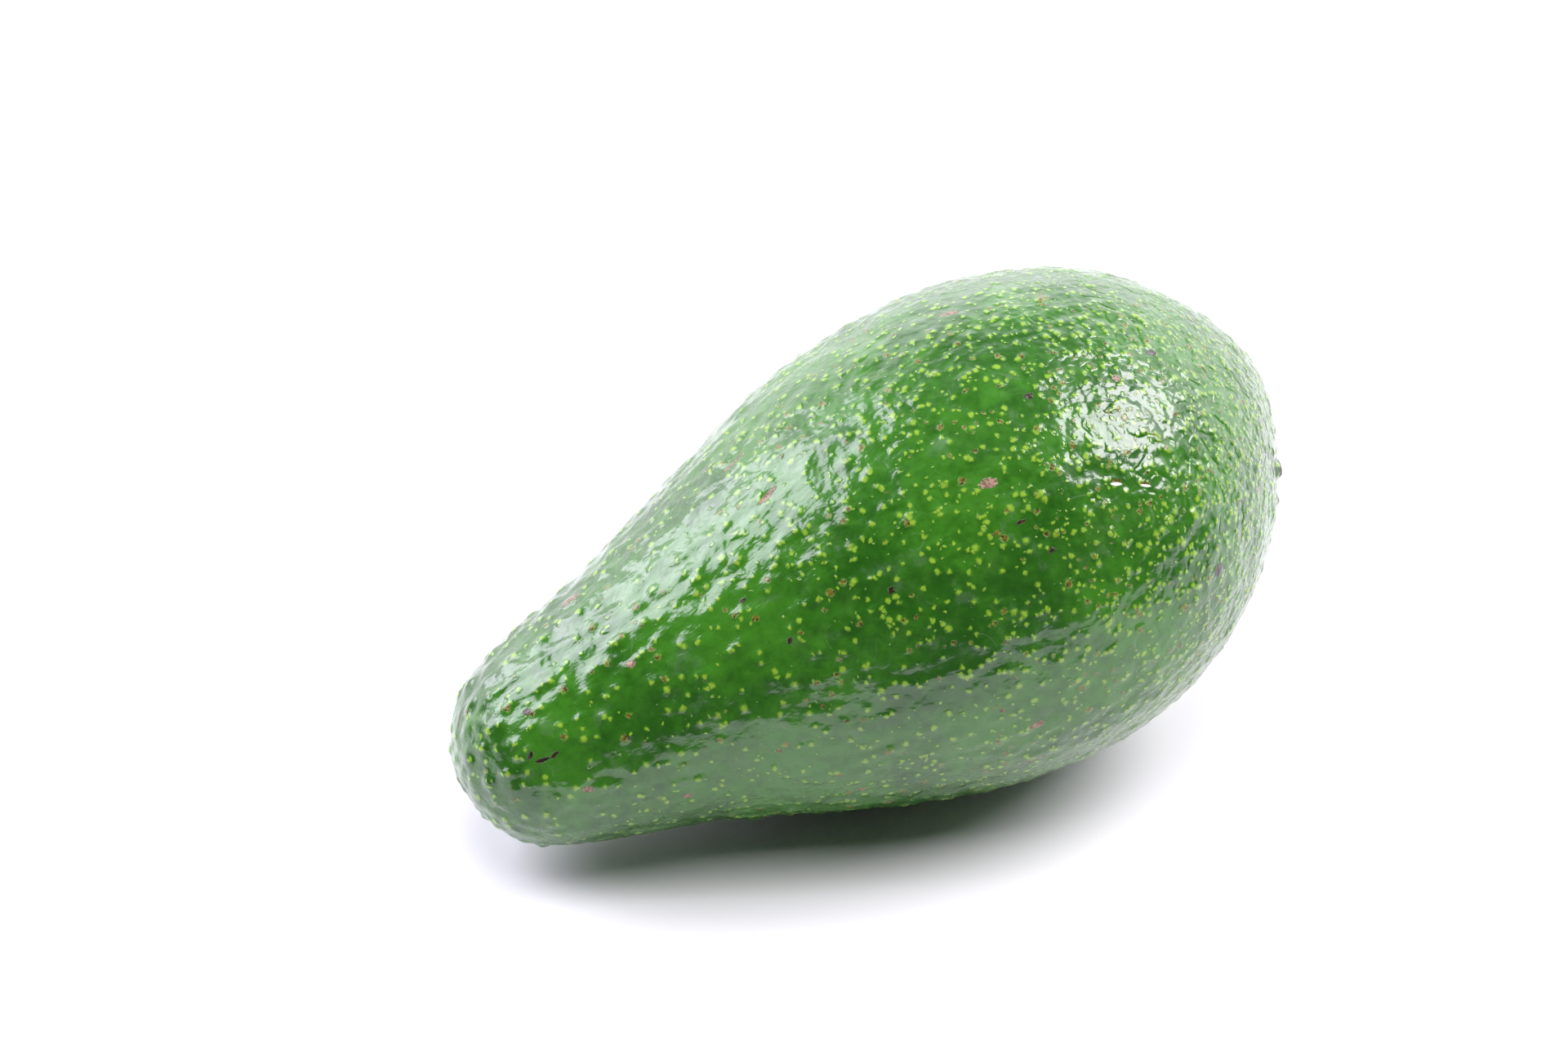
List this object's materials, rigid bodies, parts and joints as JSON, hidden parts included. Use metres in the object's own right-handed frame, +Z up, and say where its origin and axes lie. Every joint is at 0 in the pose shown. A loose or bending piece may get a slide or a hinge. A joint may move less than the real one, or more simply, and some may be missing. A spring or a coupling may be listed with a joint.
{
  "type": "avocado",
  "caption": "Whole green pear-shaped avocado with glossy pebbled skin and a woody stem button, lying on its side on a small flat spot.",
  "frame": {"origin": "middle of the bounding box, at the surface that the fruit lies on", "axes": "+X from the stem end to the blossom end, +Z up; the long axis rises 14 degrees towards the blossom end"},
  "size_m": [0.1192, 0.0678, 0.0667],
  "materials": {
    "skin": "glossy deep green fruit skin with low pebbling and many small yellow-green specks",
    "stem": "dry brown woody stem stub, matt"
  },
  "bodies": {
    "root": {"fruit": "skin", "stem_button": "stem"}
  },
  "joints": []
}
